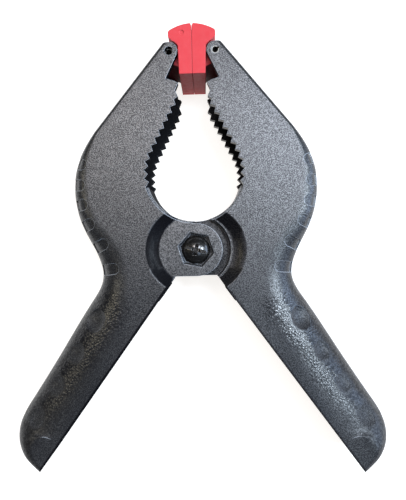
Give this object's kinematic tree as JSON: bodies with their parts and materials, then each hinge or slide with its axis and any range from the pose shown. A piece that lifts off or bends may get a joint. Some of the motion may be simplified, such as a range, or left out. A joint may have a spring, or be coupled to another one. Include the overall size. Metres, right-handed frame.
{
  "type": "spring clamp",
  "caption": "Hand spring clamp: two hollow toothed halves hinged on a screw, closed by a torsion spring, with swivelling pads at the jaw tips.",
  "frame": {"origin": "on the pivot axis at the resting plane", "axes": "+Z along the pivot to the screw's head, +Y to the jaws, +X to the right with the jaws pointing away"},
  "size_m": [0.1366, 0.1614, 0.026],
  "materials": {
    "nylon": "black glass-filled nylon, spark-eroded texture, pebbled grain on the handles",
    "pad_plastic": "smooth satin red",
    "black_steel": "glossy black oxide",
    "plated_steel": "zinc plated",
    "spring_steel": "drawn wire"
  },
  "bodies": {
    "left_half": {"left_half": "nylon", "left_pad_pin": "plated_steel", "torsion_spring": "spring_steel"},
    "right_half": {"right_half": "nylon", "pivot_screw": "black_steel", "pivot_nut": "plated_steel", "pivot_sleeve": "plated_steel", "right_pad_pin": "plated_steel"},
    "left_pad": {"left_pad": "pad_plastic"},
    "right_pad": {"right_pad": "pad_plastic"}
  },
  "joints": [
    {"name": "jaw_pivot", "type": "hinge", "parent": "left_half", "child": "right_half", "pos_m": [0, 0, 0.013], "axis": [0, 0, -1], "range_deg": [0, 50], "stiffness_Nm_per_rad": 2, "springref_deg": -45.84, "deforming": ["torsion_spring"]},
    {"name": "left_pad_swivel", "type": "hinge", "parent": "left_half", "child": "left_pad", "pos_m": [-0.00835, 0.0715, 0.013], "axis": [0, 0, -1], "range_deg": [0, 25]},
    {"name": "right_pad_swivel", "type": "hinge", "parent": "right_half", "child": "right_pad", "pos_m": [0.00835, 0.0715, 0.013], "axis": [0, 0, 1], "range_deg": [0, 25]}
  ],
  "couplings": [
    {"joint": "left_pad_swivel", "follows": "jaw_pivot", "ratio": 0.5},
    {"joint": "right_pad_swivel", "follows": "jaw_pivot", "ratio": 0.5}
  ]
}
